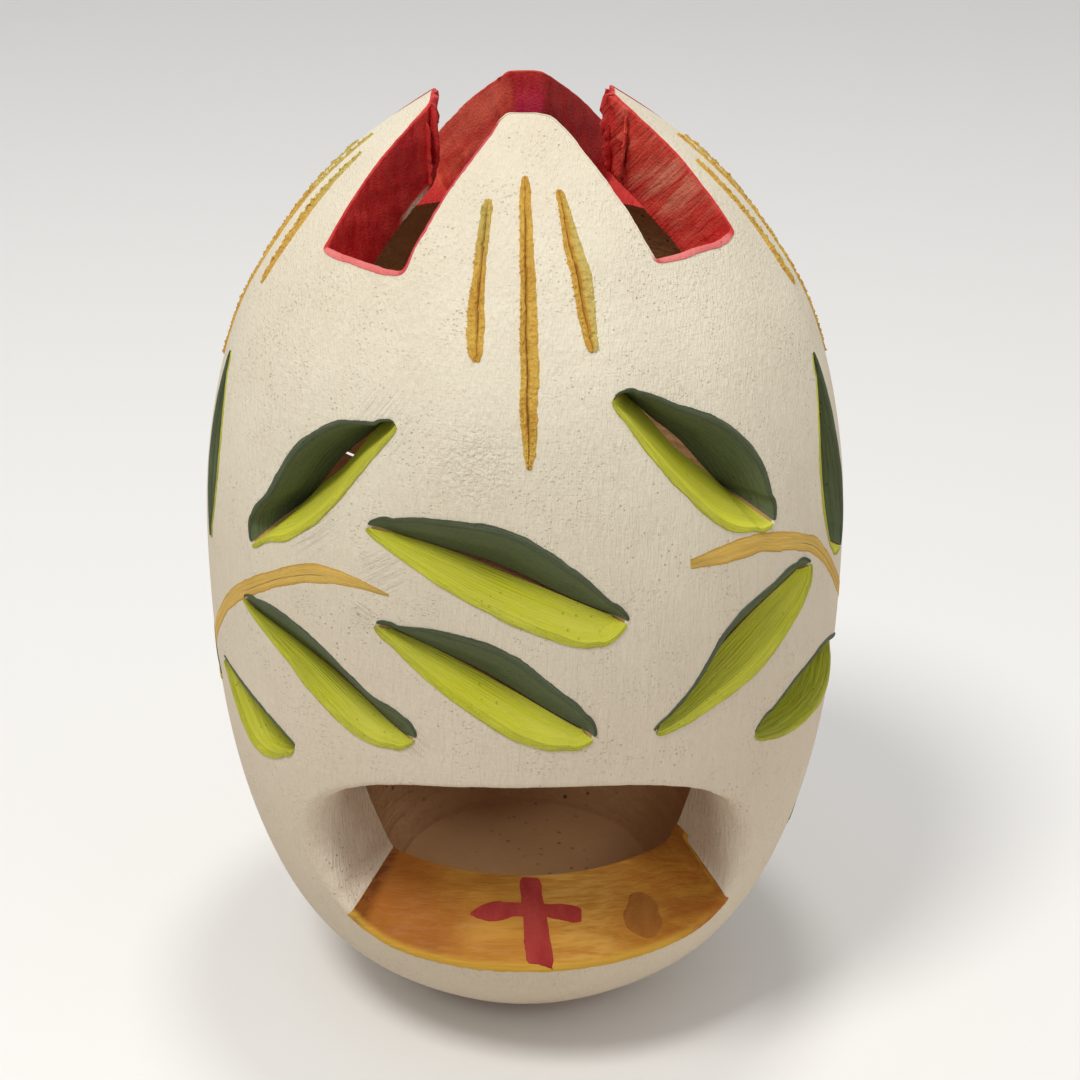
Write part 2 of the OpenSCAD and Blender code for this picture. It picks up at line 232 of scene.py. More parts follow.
def rolled(start, corner, end, steps):
    """Points round a soft corner, from start to end."""
    return [(1 - q) ** 2 * start + 2 * q * (1 - q) * corner + q ** 2 * end
            for q in np.linspace(0, 1, steps + 1)]


RIM = 0.6
PAINT = 0.16
SHOULDER = 0.75
DISH = 0.385


def slot_path(leaf, t, side):
    """Points up one face of a slot at share t, from inside the hollow to the outside past its soft rim.
    side is 1 for the dark face and -1 for the lime one. The ways along the skin and straight out come too."""
    offset, width, start, end = leaf[4][:4]
    fullness = math.sin(math.pi * t)
    swell = 0.35 + 0.65 * fullness
    width_here = leaf_width(leaf[2] if side > 0 else leaf[3], t)
    edge = max(width_here - min(SHOULDER, 0.4 * width_here), 0.12) + PAINT
    slit = width / 2 * fullness ** 4 + 0.02 + PAINT
    rim = leaf_rim(leaf, t, side * edge)
    azimuth, z = leaf_place(leaf, start + t * (end - start), offset + side * slit)
    deep = on_wall(r_in(z) - 3, azimuth, z)
    keel = on_wall(r_in(z) - 0.15 if len(leaf[4]) == 4 else r_out(z) - leaf[4][4] * swell, azimuth, z)
    outwards = unit(leaf_rim(leaf, t, side * (edge + 0.5)) - rim)
    down = keel - rim
    soft = min(RIM * swell, 0.4 * np.linalg.norm(down))
    inner = rim + soft * unit(down)
    along = leaf_rim(leaf, min(t + 0.02, 1), 0) - leaf_rim(leaf, max(t - 0.02, 0), 0)
    dished = unit(np.cross(along, down)) * side * DISH
    face = [keel + w * (inner - keel) + w * (1 - w) * dished for w in (0, 0.2, 0.4, 0.6, 0.8)]
    return [deep, *face, *rolled(inner, rim, rim + soft * outwards, 5)], outwards, wall_normal(rim)


def crowded(steps):
    """Shares from 0 to 1 that lie closer together towards both ends."""
    return [(k / steps + (1 - math.cos(math.pi * k / steps)) / 2) / 2 for k in range(steps + 1)]


def bend(name, points):
    """A grid primitive bent to rows of points in millimetres. Edges that meet are joined, ends are filled."""
    points = np.asarray(points, float)
    rows, columns = points.shape[0] - 1, points.shape[1] - 1
    bpy.ops.object.select_all(action="DESELECT")
    bpy.ops.mesh.primitive_grid_add(x_subdivisions=columns, y_subdivisions=rows, size=2)
    piece = bpy.context.object
    piece.name = name
    flat = np.zeros(len(piece.data.vertices) * 3)
    piece.data.vertices.foreach_get("co", flat)
    flat = flat.reshape(-1, 3)
    column = np.rint((flat[:, 0] + 1) / 2 * columns).astype(int)
    row = np.rint((flat[:, 1] + 1) / 2 * rows).astype(int)
    piece.data.vertices.foreach_set("co", (points[row, column] * MM).ravel())
    bpy.ops.object.mode_set(mode="EDIT")
    bpy.ops.mesh.select_all(action="SELECT")
    bpy.ops.mesh.remove_doubles(threshold=1e-6)
    bpy.ops.mesh.fill_holes(sides=0)
    bpy.ops.mesh.select_all(action="SELECT")
    bpy.ops.mesh.normals_make_consistent(inside=False)
    bpy.ops.object.mode_set(mode="OBJECT")
    return piece


def slot_cutter(leaf):
    """The knife's path through one leaf: down its dark face and up its lime one."""
    rings = []
    for t in crowded(90):
        faces = []
        for side in (1, -1):
            points, outwards, out = slot_path(leaf, t, side)
            over = points[-1] + 0.5 * outwards
            faces.append([*points, over + 0.35 * out, over + 3 * out])
        rings.append([*faces[0], *faces[1][::-1], faces[0][0]])
    return bend("slot", rings)


knives = [slot_cutter(leaf) for group in LEAVES.values() for leaf in group]

# The veins: three shallow grooves down the middle of every petal, cut with the corner of the knife.
# Each is [azimuth at its top, at its bottom, height of its top, of its bottom], then how far its ochre
# reaches to the left and to the right in millimetres, at even shares of its length.
VEINS = [
    [-11.5, -9.3, 139.5, 121, [0.8, 0.9, 1.0, 1.15, 1.4, 1.5, 1.1], [0.8, 0.8, 0.75, 0.75, 0.95, 1.0, 0.8]],
    [0, 0.7, 142, 107.7, [0.7, 0.9, 0.8, 0.9, 1.0, 1.05, 0.5], [0.8, 1.0, 1.4, 1.65, 1.6, 1.3, 0.8]],
    [11, 13.5, 140.5, 122, [0.6, 0.7, 0.9, 1.0, 1.0, 1.05, 0.9], [0.7, 1.1, 1.7, 2.0, 1.8, 1.3, 0.9]]]
PETALS = {"front": 0, "right": 90, "back": 180, "left": 270}
GROOVE_HALF = 0.34
GROOVE_DEPTH = 0.75
GROOVE_FORM = [(-1, 0.0), (-0.82, 0.12), (-0.45, 0.62), (-0.12, 0.97),
               (0.12, 0.97), (0.4, 0.6), (0.8, 0.14), (1, 0.0)]


def ragged(seed, x, size=1.0):
    """Uneven value round 0, for a hand-drawn edge."""
    return size * (0.62 * noise.noise((seed, x, 0)) + 0.28 * noise.noise((seed, 2.7 * x, 5))
                   + 0.18 * noise.noise((seed, 7.3 * x, 9)))


def vein_place(vein, petal, t):
    """Where a vein runs at share t: its seed, height, radius, degrees to a millimetre, taper and azimuth."""
    top, bottom, z_top, z_bottom = vein[:4]
    seed = petal / 9 + top
    z = z_top + t * (z_bottom - z_top)
    r = r_out(z)
    mm = 180 / (math.pi * r)
    taper = min(1, 0.3 + 4 * t, 0.3 + 4 * (1 - t))
    azimuth = petal + top + t * (bottom - top) + ragged(seed, 0.25 * (z_top - z_bottom) * t, 0.25) * mm
    return seed, z, r, mm, taper, azimuth


def groove_path(vein, petal, t):
    """Points across a groove from its left lip to its right one."""
    seed, z, r, mm, taper, azimuth = vein_place(vein, petal, t)
    return [on_wall(r - down * GROOVE_DEPTH * taper, azimuth + aside * GROOVE_HALF * taper * mm, z)
            for aside, down in GROOVE_FORM]


def vein_cutter(vein, petal, steps=40):
    rings = []
    for k in range(steps + 1):
        row = groove_path(vein, petal, k / steps)
        clear = 1.2 * wall_normal(row[3])
        rings.append([*row, row[-1] + clear, row[0] + clear, row[0]])
    return bend("groove", rings)


knives += [vein_cutter(vein, petal) for petal in PETALS.values() for vein in VEINS]

# The crown: four knife cuts down between the petals and a square hole, over notch floors that fall inwards.
# HOLE is how far each petal's tip stands from the axis. A notch is its azimuth and its half width near the
# axis and at the outside. The edge runs once round the lantern, as pairs of an outer and an inner point.
HOLE = [12.0, 12.2, 13.4, 13.4]
NOTCHES = [[-43.0, 6.9, 7.9], [48.5, 7.2, 9.0], [137.0, 7.3, 8.8], [222.0, 7.3, 8.4]]
NOTCH_NEAR = 12.5
NOTCH_FAR = 33
NOTCH_Z = 130.5
NOTCH_R = r_out(NOTCH_Z)
NOTCH_FALL = math.tan(math.radians(42))
FLOOR_ROWS = 36
SIDE_ROWS = 72
TIP_ROWS = 20


def notch_point(notch, u, hand):
    """The left (-1) or right (1) side of a notch, seen from above, u millimetres out along it."""
    azimuth, near, far = notch
    a = math.radians(azimuth)
    half = hand * (near + (far - near) * (u - NOTCH_NEAR) / (NOTCH_FAR - NOTCH_NEAR))
    return np.array([u * math.sin(a) + half * math.cos(a), -u * math.cos(a) + half * math.sin(a)])


def notch_floor(r):
    return NOTCH_Z - (NOTCH_R - r) * NOTCH_FALL


def solve(condition, low, high):
    """Where a condition that holds from some value on begins to hold."""
    for _ in range(40):
        half_way = (low + high) / 2
        if condition(half_way):
            high = half_way
        else:
            low = half_way
    return high


def on_both_skins(p, q):
    """A point of the outside above p, and one of the inside above q."""
    far, far_in = np.linalg.norm(p), np.linalg.norm(q)
    return ([*p, solve(lambda z: r_out(z) <= far, 75, HEIGHT)],
            [*q, solve(lambda z: r_in(z) <= far_in, 90, INSIDE_TOP)])


def notch_side(notch, hand, petal, reach):
    """Pairs up one side of a notch to the petal's tip, and where its floor meets outside and inside."""
    facing = np.array([math.sin(petal), -math.cos(petal)])

    def far(u):
        return np.linalg.norm(notch_point(notch, u, hand))

    tip = solve(lambda u: notch_point(notch, u, hand) @ facing > reach, 2, 40)
    foot = solve(lambda u: far(u) > NOTCH_R, 2, 60)
    foot_in = solve(lambda u: r_in(notch_floor(far(u))) < far(u), tip, 60)
    pairs = []
    for k in range(SIDE_ROWS + 1):
        w = k / SIDE_ROWS
        pairs.append(on_both_skins(notch_point(notch, foot + (tip - foot) * w, hand),
                                   notch_point(notch, foot_in + (tip - foot_in) * w, hand)))
    return pairs, foot, foot_in


def crown_edge():
    """Outer and inner points of the cut faces, once round from the front left notch."""
    pairs = []
    for k, notch in enumerate(NOTCHES):
        petal = math.radians(90 * k)
        climb, foot, foot_in = notch_side(notch, 1, petal, HOLE[k])
        fall = notch_side(NOTCHES[(k + 1) % 4], -1, petal, HOLE[k])[0][::-1]
        left, right = notch_point(notch, foot, -1), notch_point(notch, foot, 1)
        left_in, right_in = notch_point(notch, foot_in, -1), notch_point(notch, foot_in, 1)
        ring = np.linalg.norm(left_in)
        for j in range(FLOOR_ROWS):
            p, q = left + (right - left) * j / FLOOR_ROWS, left_in + (right_in - left_in) * j / FLOOR_ROWS
            pairs.append(([*unit(p) * NOTCH_R, NOTCH_Z], [*unit(q) * ring, notch_floor(ring)]))
        pairs += climb
        for j in range(1, TIP_ROWS):
            p = np.array(climb[-1][0][:2]) * (1 - j / TIP_ROWS) + np.array(fall[0][0][:2]) * j / TIP_ROWS
            pairs.append(on_both_skins(p, p))
        pairs += fall
    outer, inner = zip(*pairs)
    return np.array(outer), np.array(inner)


def eased(loop, times):
    """A closed row of points with its corners worn round."""
    for _ in range(times):
        loop = 0.25 * np.roll(loop, 1, 0) + 0.5 * loop + 0.25 * np.roll(loop, -1, 0)
    return loop


def onto_wall(p):
    """The point of the outside level with p."""
    flat = math.hypot(p[0], p[1])
    z = min(max(p[2], 0.0), HEIGHT)
    return np.array([p[0] / flat * r_out(z), p[1] / flat * r_out(z), z])


def edge_frames(outer):
    """At each point of a closed edge on the outside: the way along the skin out of it, and straight out."""
    along = np.roll(outer, -1, 0) - np.roll(outer, 1, 0)
    outs = np.array([wall_normal(p) for p in outer])
    aside = np.cross(along, outs)
    return aside / np.linalg.norm(aside, axis=1)[:, None], outs


def hand_shake(count, first_seed, second_seed, pace, size):
    """How far the knife wanders aside, at count points once round an opening."""
    return np.array([ragged(first_seed, pace * math.sin(a), size)
                     + ragged(second_seed, pace * math.cos(a), size)
                     for a in np.linspace(0, 2 * math.pi, count, endpoint=False)])


def ruled_band(outer, inner, soft, aside, steps, hand, seed):
    """Rows across a cut face, from its inner edge up to an outer edge rounded by soft. hand is how unevenly
    the knife ran."""
    rows = []
    for e, i, s, t in zip(outer, inner, soft, aside):
        down = i - e
        s = min(s, 0.45 * np.linalg.norm(down))
        start = e + s * unit(down)
        face = []
        for k in range(steps):
            p = i + (start - i) * k / steps
            wave = (noise.noise((p[0] / 5 + seed, p[1] / 5, p[2] / 3.2))
                    + 0.35 * noise.noise((p[0] / 1.6 + seed, p[1] / 1.6, p[2] / 1.1)))
            face.append(p + hand * wave * min(1, (steps - k) / 2) * t)
        rows.append(face + rolled(start, e, e + s * t, 6))
    return np.array(rows)


def opening_cutter(name, band, outer, inner, aside, outs, far_out, far_in):
    """A closed knife through an opening: its band of cut faces, drawn to a point outside and one inside."""
    rings = []
    for row, e, i, t, n in zip(band, outer, inner, aside, outs):
        over = row[-1] + 0.5 * t
        rings.append([far_in, row[0] + 3 * unit(i - e), *row, over + 0.3 * n, over + 3 * n, far_out])
    return bend(name, [*rings, rings[0]])


crown_outer, crown_inner = crown_edge()
ROWS = len(crown_outer) // 4

# The front right notch was cut less deep than the others.
RISE = 1.2
for k in range(ROWS - 30, ROWS + 66):
    crown_outer[k, 2] = max(crown_outer[k, 2], NOTCH_Z + RISE)
    low_in = notch_floor(np.linalg.norm(crown_inner[ROWS + FLOOR_ROWS // 2, :2])) + RISE
    if ROWS <= k < ROWS + FLOOR_ROWS or crown_inner[k, 2] < low_in:
        crown_inner[k, 2] = low_in
        crown_inner[k, :2] *= r_in(low_in) / np.linalg.norm(crown_inner[k, :2])
crown_outer = eased(crown_outer, 4)
crown_inner = eased(crown_inner, 6)

# The tip of the front petal is worn rounder than the rest.
at_tip = np.array([math.exp(-((k - 119) / 24) ** 4) for k in range(4 * ROWS)])[:, None]
crown_outer = crown_outer * (1 - at_tip) + eased(crown_outer, 36) * at_tip
crown_inner = crown_inner * (1 - at_tip) + eased(crown_inner, 36) * at_tip
crown_shake = hand_shake(4 * ROWS, 1.5, 4.5, 9, 0.4)
crown_aside, crown_outs = edge_frames(crown_outer)
crown_outer = np.array([onto_wall(p + w * t) for p, w, t in zip(crown_outer, crown_shake, crown_aside)])
crown_inner = crown_inner + (np.roll(crown_shake, 9) * 0.8)[:, None] * crown_aside
crown_aside, crown_outs = edge_frames(crown_outer)
on_floor = np.array([k % ROWS < FLOOR_ROWS for k in range(4 * ROWS)], float)
crown_soft = eased(0.2 + 0.5 * on_floor, 12)
crown_soft[60:ROWS - 20] = 0.12
crown_band = ruled_band(crown_outer, crown_inner, crown_soft, crown_aside, 14, 0.3, 2)
knives.append(opening_cutter("crown_knife", crown_band, crown_outer, crown_inner, crown_aside, crown_outs,
                             np.array([0, 0, 190.0]), np.array([0, 0, 104.0])))

# The window: a wide rounded opening cut straight towards the axis, over a sill that falls outwards. Knots
# round it are the azimuth and height of its outer and inner edge, and how softly the outer edge is rolled.
# The clay's own knife is wider by the slip that turns in over the jambs.
WINDOW = [
    [1, 59.3, 1, 59.3, 0.9], [14, 58.8, 15, 58.8, 0.9], [25, 56.9, 29, 57.4, 1.1],
    [34, 53.2, 40.5, 54.4, 1.8], [40.5, 48.2, 46.5, 50.0, 2.8], [44.6, 41.5, 48.5, 45.0, 3.6],
    [46.3, 35.0, 48.6, 39.6, 3.6],
    [46.6, 30.5, 48.2, 35.8, 2.4], [45.4, 27.6, 47.0, 33.4, 1.3], [42.5, 25.6, 44.5, 33.0, 1.1],
    [36, 24.0, 37, 33, 1.1], [20, 23.3, 20, 33, 1.1], [2, 23.2, 2, 33, 1.1], [-14, 23.3, -14, 33, 1.1],
    [-27, 24.0, -28, 33, 1.1], [-34.5, 26.0, -38.0, 33.0, 1.1], [-38.4, 28.2, -42.0, 33.4, 1.4],
    [-41.3, 32.0, -43.2, 36.0, 2.6], [-43.0, 37.5, -44.4, 40.5, 3.4], [-42.4, 44.0, -45.2, 45.8, 3.2],
    [-38.3, 50.5, -42.8, 51.2, 2.2], [-31, 55.0, -36.5, 55.4, 1.3], [-21, 57.9, -24, 58.0, 0.9],
    [-10, 59.0, -10.5, 59.0, 0.9]]
WINDOW_OUT = np.array([0, -75.0, 38])
WINDOW_IN = np.array([0, -18.0, 42])
SLIP = 0.4


def through_knots(knots, per_knot):
    """A closed smooth row through the knots."""
    k = np.array(knots, float)
    row = []
    for i in range(len(k)):
        a, b, c, d = k[i - 1], k[i], k[(i + 1) % len(k)], k[(i + 2) % len(k)]
        for t in np.arange(per_knot) / per_knot:
            row.append(0.5 * (2 * b + (c - a) * t + (2 * a - 5 * b + 4 * c - d) * t ** 2
                              + (3 * b - a - 3 * c + d) * t ** 3))
    return np.array(row)


window_rows = through_knots(WINDOW, 20)[::-1]
window_shake = hand_shake(len(window_rows), 8.5, 6.5, 7, 0.25)
window_outer = np.array([on_wall(r_out(z), azimuth, z) for azimuth, z in window_rows[:, :2]])
window_inner = np.array([on_wall(r_in(z) - 0.1, azimuth, z) for azimuth, z in window_rows[:, 2:4]])
window_aside, window_outs = edge_frames(window_outer)
window_outer = np.array([onto_wall(p + w * t) for p, w, t in zip(window_outer, window_shake, window_aside)])
window_aside, window_outs = edge_frames(window_outer)
window_band = ruled_band(window_outer, window_inner, window_rows[:, 4], window_aside, 12, 0.12, 7)
window_knife = opening_cutter("window_knife", window_band, window_outer, window_inner, window_aside,
                              window_outs, WINDOW_OUT, WINDOW_IN)
square_aside = np.array([unit(t - (t @ unit(e - i)) * unit(e - i))
                         for t, e, i in zip(window_aside, window_outer, window_inner)])
clay_window_knife = opening_cutter("clay_window_knife", window_band + SLIP * square_aside[:, None],
                                   window_outer, window_inner, window_aside, window_outs,
                                   WINDOW_OUT, WINDOW_IN)

# The clay wall: thrown on the wheel, then cut through by every knife. Bare fired clay shows inside, with the
# low rings that the potter's fingers left as the pot was raised. The slip starts just above the foot.
SLIP_FROM = 1.2
SPIN = 192


def crowded_heights(low, high, count):
    return [low + (high - low) * t for t in crowded(count)]


def turned(name, profile, steps):
    """A closed profile of [radius, height] points turned about the axis."""
    return bend(name, [[on_wall(r, 360 * k / steps, z) for k in range(steps + 1)] for r, z in profile])


def only(piece):
    bpy.ops.object.select_all(action="DESELECT")
    bpy.context.view_layer.objects.active = piece
    piece.select_set(True)


def cut(piece, *tools, operation="DIFFERENCE"):
    for tool in tools:
        knife = piece.modifiers.new("knife", "BOOLEAN")
        knife.operation = operation
        knife.solver = "MANIFOLD"
        knife.object = tool
        only(piece)
        bpy.ops.object.modifier_apply(modifier=knife.name)


def joined(pieces):
    only(pieces[0])
    for piece in pieces[1:]:
        piece.select_set(True)
    bpy.ops.object.join()
    return pieces[0]


def drop(*tools):
    for tool in tools:
        bpy.data.objects.remove(tool)


knives = joined(knives)
hollow = turned("hollow", [[0.0, FLOOR], [11.0, FLOOR],
                           *[[r_in(z), z] for z in crowded_heights(FLOOR, INSIDE_TOP, 60)],
                           [0.0, INSIDE_TOP + 1]], SPIN)
clay_wall = turned("clay_wall", [[0.0, 0.0], [9.0, 0.0],
                                 *[[r_out(z) - (SLIP if z > SLIP_FROM else 0), z]
                                   for z in crowded_heights(0, HEIGHT, 90)],
                                 [0.0, HEIGHT]], SPIN)
cut(clay_wall, hollow, clay_window_knife, knives)


def srgb(r, g, b):
    return (*(c / 255 / 12.92 if c <= 10 else ((c / 255 + 0.055) / 1.055) ** 2.4 for c in (r, g, b)), 1)


def plug(node, values):
    """Set a node's sockets, or wire them where the value is another node's socket."""
    for key, value in values.items():
        if isinstance(value, bpy.types.NodeSocket):
            tree.links.new(value, node.inputs[key])
        else:
            node.inputs[key].default_value = value
    return node


def add(kind, values, **settings):
    """A new node in tree, which is always the finish or the effect being made."""
    node = tree.nodes.new("ShaderNode" + kind)
    for key, value in settings.items():
        setattr(node, key, value)
    return plug(node, values)


def worked(operation, a, b=0.0):
    return add("Math", {0: a, 1: b}, operation=operation).outputs[0]


def times(a, b):
    return worked("MULTIPLY", a, b)


def plus(a, b):
    return worked("ADD", a, b)


def larger(a, b):
    return worked("MAXIMUM", a, b)


def ramp(value, low, high, out_low=0.0, out_high=1.0):
    ends = {"From Min": low, "From Max": high, "To Min": out_low, "To Max": out_high}
    return add("MapRange", {"Value": value, **ends}, interpolation_type="SMOOTHSTEP").outputs["Result"]


def mixed(share, a, b):
    """Between tones a and b. A tone is red, green and blue out of 255, or a mixture."""
    a, b = (srgb(*tone) if isinstance(tone, tuple) else tone for tone in (a, b))
    return add("Mix", {0: share, 6: a, 7: b}, data_type="RGBA").outputs[2]


def layered(colour, *layers):
    """Paint laid over a colour, and in places painted light and shade. Each layer is where it lies, how
    thickly, and its tone.
    """
    for where, amount, tone in layers:
        colour = mixed(times(where, amount), colour, tone)
    return colour


def effect(name, inputs, masks):
    """A new effect along a vector, with what it is given and what it gives."""
    group = bpy.data.node_groups.new(name, "ShaderNodeTree")
    group.interface.new_socket(name="Vector", in_out="INPUT", socket_type="NodeSocketVector")
    for label, value in inputs.items():
        kind = "Float" if isinstance(value, float) else "Vector"
        socket = group.interface.new_socket(name=label, in_out="INPUT", socket_type="NodeSocket" + kind)
        socket.default_value = value
    for label in masks:
        group.interface.new_socket(name=label, in_out="OUTPUT", socket_type="NodeSocketFloat")
    return group, group.nodes.new("NodeGroupInput").outputs, group.nodes.new("NodeGroupOutput")


# Brush streaks: long marks the way the brush ran, and finer hairs inside them.
tree, given, result = effect("brush_streaks", {"Scale": (1, 1, 1), "Seed": 0.0}, ["Streaks", "Hairs"])
streaks = tree
stretched = add("VectorMath", {0: given["Vector"], 1: given["Scale"]}, operation="MULTIPLY").outputs[0]
seeded = add("CombineXYZ", {0: given["Seed"], 2: given["Seed"]}).outputs[0]
stretched = add("VectorMath", {0: stretched, 1: seeded}, operation="ADD").outputs[0]
wide = add("TexNoise", {"Vector": stretched, "Scale": 1.0, "Detail": 4.0, "Roughness": 0.62,
                        "Distortion": 0.25})
fine = add("VectorMath", {0: stretched, 1: (3.3, 1.4, 3.3)}, operation="MULTIPLY").outputs[0]
hairs = add("TexNoise", {"Vector": fine, "Scale": 1.0, "Detail": 3.0, "Roughness": 0.55})
plug(result, {"Streaks": ramp(wide.outputs[0], 0.32, 0.68), "Hairs": ramp(hairs.outputs[0], 0.35, 0.65)})

# Pits and specks: small round holes and grains, thicker in some patches than in others.
tree, given, result = effect("pits_and_specks", {"Scale": 900.0, "Size": 0.2, "Patches": 40.0}, ["Pits"])
pits = tree
cells = add("TexVoronoi", {"Vector": given["Vector"], "Scale": given["Scale"], "Randomness": 1.0})
spots = add("MapRange", {"Value": cells.outputs["Distance"], "From Min": times(given["Size"], 0.55),
                         "From Max": given["Size"], "To Min": 1.0, "To Max": 0.0})
patch = add("TexNoise", {"Vector": given["Vector"], "Scale": given["Patches"], "Detail": 3.0})
plug(result, {"Pits": times(spots.outputs[0], ramp(patch.outputs[0], 0.42, 0.66))})

# Mottle: slow drift of tone over a hand-brushed or fired surface, and the grain in it.
tree, given, result = effect("mottle", {"Scale": 40.0, "Seed": 0.0}, ["Tone", "Grain"])
mottle = tree
seeded = add("CombineXYZ", {0: given["Seed"]}).outputs[0]
seeded = add("VectorMath", {0: given["Vector"], 1: seeded}, operation="ADD").outputs[0]
slow = add("TexNoise", {"Vector": seeded, "Scale": given["Scale"], "Detail": 5.0, "Roughness": 0.55})
grain = add("TexNoise", {"Vector": seeded, "Scale": times(given["Scale"], 22.0), "Detail": 3.0})
plug(result, {"Tone": ramp(slow.outputs[0], 0.33, 0.67), "Grain": ramp(grain.outputs[0], 0.3, 0.7)})


def use(group, along, **values):
    """The masks that an effect gives along a vector."""
    node = tree.nodes.new("ShaderNodeGroup")
    node.node_tree = group
    return plug(node, {"Vector": along, **values}).outputs


def parts(vector):
    return add("SeparateXYZ", {0: vector}).outputs


def matt(name, *pieces):
    """A new matt finish on the pieces: its tree, where it is on the pot, and where along the brush."""
    stuff = bpy.data.materials.new(name)
    stuff.use_nodes = True
    for piece in pieces:
        piece.data.materials.clear()
        piece.data.materials.append(stuff)
    places = stuff.node_tree.nodes.new("ShaderNodeTexCoord").outputs
    return stuff.node_tree, places["Object"], places["UV"]


def surface(colour, roughness, depth, *relief, sheen=0.2):
    """Wire up the finish. roughness is a mask and its two ends. relief is masks and how high each stands, as
    shares of depth metres. sheen is how much light it mirrors."""
    shader = tree.nodes["Principled BSDF"]
    height = 0.0
    for mask, rise in relief:
        height = plus(times(mask, rise), height)
    mask, low, high = roughness
    bump = add("Bump", {"Height": height, "Distance": depth, "Strength": 1.0})
    plug(shader, {"Base Color": colour, "Roughness": ramp(mask, 0, 1, low, high),
                  "Specular IOR Level": sheen, "Normal": bump.outputs["Normal"]})


def finish(piece, slot_name, *nodes):
    only(piece)
    bpy.ops.object.shade_smooth_by_angle(angle=math.radians(34))
    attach(piece, "root")
    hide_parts(*nodes)


tree, place, along = matt("bare_fired_clay", clay_wall)
tone = use(mottle, place, Scale=28.0, Seed=3.0)
specks = use(pits, place, Scale=420.0, Size=0.17, Patches=60.0)
rings = use(streaks, place, Scale=(9.0, 9.0, 420.0), Seed=2.0)
colour = layered(mixed(tone["Tone"], (192, 150, 106), (210, 170, 126)),
                 (rings["Streaks"], 0.3, (166, 126, 88)),
                 (specks["Pits"], 1.0, (100, 70, 46)))
surface(colour, (tone["Grain"], 0.82, 0.95), 0.00016,
        (rings["Streaks"], 0.8), (tone["Grain"], 1.0), (specks["Pits"], -1.0))
finish(clay_wall, "bare_clay", "clay_body")

# The white slip: thin liquid clay brushed over the outside and turned in over the window's jambs, where it
# thins and where its brown there is also painted shade. It is matt, finely pitted and brushed up and down,
# with a rough patch, and scraped by a tool.
FINE_SPIN = 264
core = turned("core", [[0.0, -1.0], [9.0, -1.0], [18.0, -1.0], [22.5, SLIP_FROM],
                       *[[r_out(z) - SLIP, z] for z in crowded_heights(SLIP_FROM, HEIGHT, 70)][1:],
                       [8.0, HEIGHT], [0.0, HEIGHT + 3]], SPIN)
cut(core, clay_window_knife)
slip_skin = turned("slip_skin", [[0.0, 0.0], [9.0, 0.0],
                                 *[[r_out(z), z] for z in crowded_heights(0, HEIGHT, 138)],
                                 [0.0, HEIGHT]], FINE_SPIN)
cut(slip_skin, core, hollow, window_knife, knives)
drop(core, hollow, window_knife, clay_window_knife, knives)


def between(value, low, high, soft):
    """1 where the value lies between low and high."""
    return times(ramp(value, low - soft, low + soft), ramp(value, high + soft, high - soft))


def near_to(place, spot, inner, outer):
    """1 round a spot of the pot, in metres, and 0 away from it."""
    far = add("VectorMath", {0: place, 1: spot}, operation="DISTANCE").outputs["Value"]
    return ramp(far, outer, inner)


def slanted(place, angle):
    return add("VectorRotate", {"Vector": place, "Angle": angle}, rotation_type="Y_AXIS").outputs[0]


tree, place, along = matt("brushed_white_slip", slip_skin)
up = parts(place)[2]
flat = add("VectorMath", {0: place, 1: (1, 1, 0)}, operation="MULTIPLY").outputs[0]
radius = add("VectorMath", {0: flat}, operation="LENGTH").outputs["Value"]
tone = use(mottle, place, Scale=22.0, Seed=9.0)
cloud = use(mottle, place, Scale=75.0, Seed=1.0)
marks = use(streaks, place, Scale=(1100.0, 1100.0, 120.0), Seed=4.0)
level_marks = use(streaks, place, Scale=(150.0, 150.0, 1500.0), Seed=7.0)
specks = use(pits, place, Scale=900.0, Size=0.15, Patches=90.0)
crumbs = use(pits, place, Scale=1500.0, Size=0.3, Patches=160.0)
# the brown on the window's jambs: slip thinning to the clay, and painted shade
thinned_and_shaded_jamb = times(ramp(radius, 0.0445, 0.0385), between(up, 0.032, 0.0625, 0.003))
thin_slip_and_shade = ramp(plus(times(marks["Hairs"], 0.15), times(cloud["Tone"], 0.85)), 0.1, 0.9, 0.5, 0.72)
colour = layered(mixed(tone["Tone"], (238, 230, 209), (229, 218, 196)),
                 (cloud["Tone"], 0.3, (219, 207, 186)),
                 (marks["Streaks"], 0.2, (246, 241, 226)),
                 # painted shade: the slip darker and warmer towards the bottom
                 (ramp(up, 0.112, 0.052), 0.45, (228, 210, 190)),
                 (specks["Pits"], 0.5, (160, 138, 106)),
                 (crumbs["Pits"], 0.25, (190, 172, 142)),
                 (thinned_and_shaded_jamb, thin_slip_and_shade, (168, 138, 110)))
rough = near_to(place, (-0.0075, -0.0475, 0.109), 0.003, 0.0085)
scratches = 0.0
for spot, slant, reach in (((-0.021, -0.042, 0.113), 0.9, 0.008), ((-0.030, -0.037, 0.097), 0.75, 0.008),
                           ((-0.020, -0.045, 0.092), 0.6, 0.005), ((-0.016, -0.047, 0.066), -0.75, 0.004),
                           ((-0.023, -0.044, 0.085), -0.5, 0.003)):
    lines = use(streaks, slanted(place, slant), Scale=(90.0, 90.0, 1700.0), Seed=3.0)["Streaks"]
    scratches = larger(times(near_to(place, spot, reach * 0.3, reach), lines), scratches)
surface(colour, (cloud["Grain"], 0.66, 0.84), 0.00014,
        (marks["Streaks"], 0.5), (marks["Hairs"], 0.4), (level_marks["Hairs"], 0.12), (cloud["Grain"], 0.15),
        (specks["Pits"], -1.1), (crumbs["Pits"], -0.6),
        (times(rough, plus(crumbs["Pits"], cloud["Grain"])), 0.9), (scratches, 1.1))
finish(slip_skin, "white_slip", "white_slip", "window_slip")

